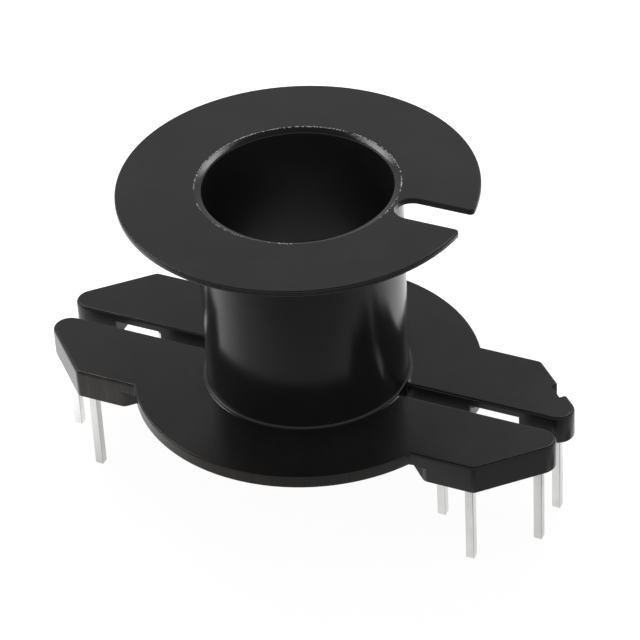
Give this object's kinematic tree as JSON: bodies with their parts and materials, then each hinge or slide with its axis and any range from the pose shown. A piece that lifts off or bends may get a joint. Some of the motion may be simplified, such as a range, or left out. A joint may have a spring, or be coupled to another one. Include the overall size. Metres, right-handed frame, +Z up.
{
  "type": "transformer bobbin",
  "caption": "Black coil former for a round-post transformer core: a barrel between two flanges, a wire slot in the upper one, and split wings below with square solder pins.",
  "frame": {"origin": "middle of the footprint, on the plane of the pins' feet", "axes": "+Z up along the barrel's axis; +X along the wings, towards the upper flange's wire slot and the lobe with the index notch; +Y completes a right-handed set"},
  "size_m": [0.0382, 0.0246, 0.0241],
  "materials": {
    "black_moulding": "satin moulded thermoset, glossier on the barrel",
    "tinned_wire": "bright tin plate with fine draw lines"
  },
  "bodies": {
    "root": {"bobbin_body": "black_moulding", "pin_1": "tinned_wire", "pin_2": "tinned_wire", "pin_3": "tinned_wire", "pin_4": "tinned_wire", "pin_5": "tinned_wire", "pin_6": "tinned_wire", "pin_7": "tinned_wire", "pin_8": "tinned_wire", "pin_9": "tinned_wire", "pin_10": "tinned_wire", "pin_11": "tinned_wire", "pin_12": "tinned_wire"}
  },
  "joints": []
}
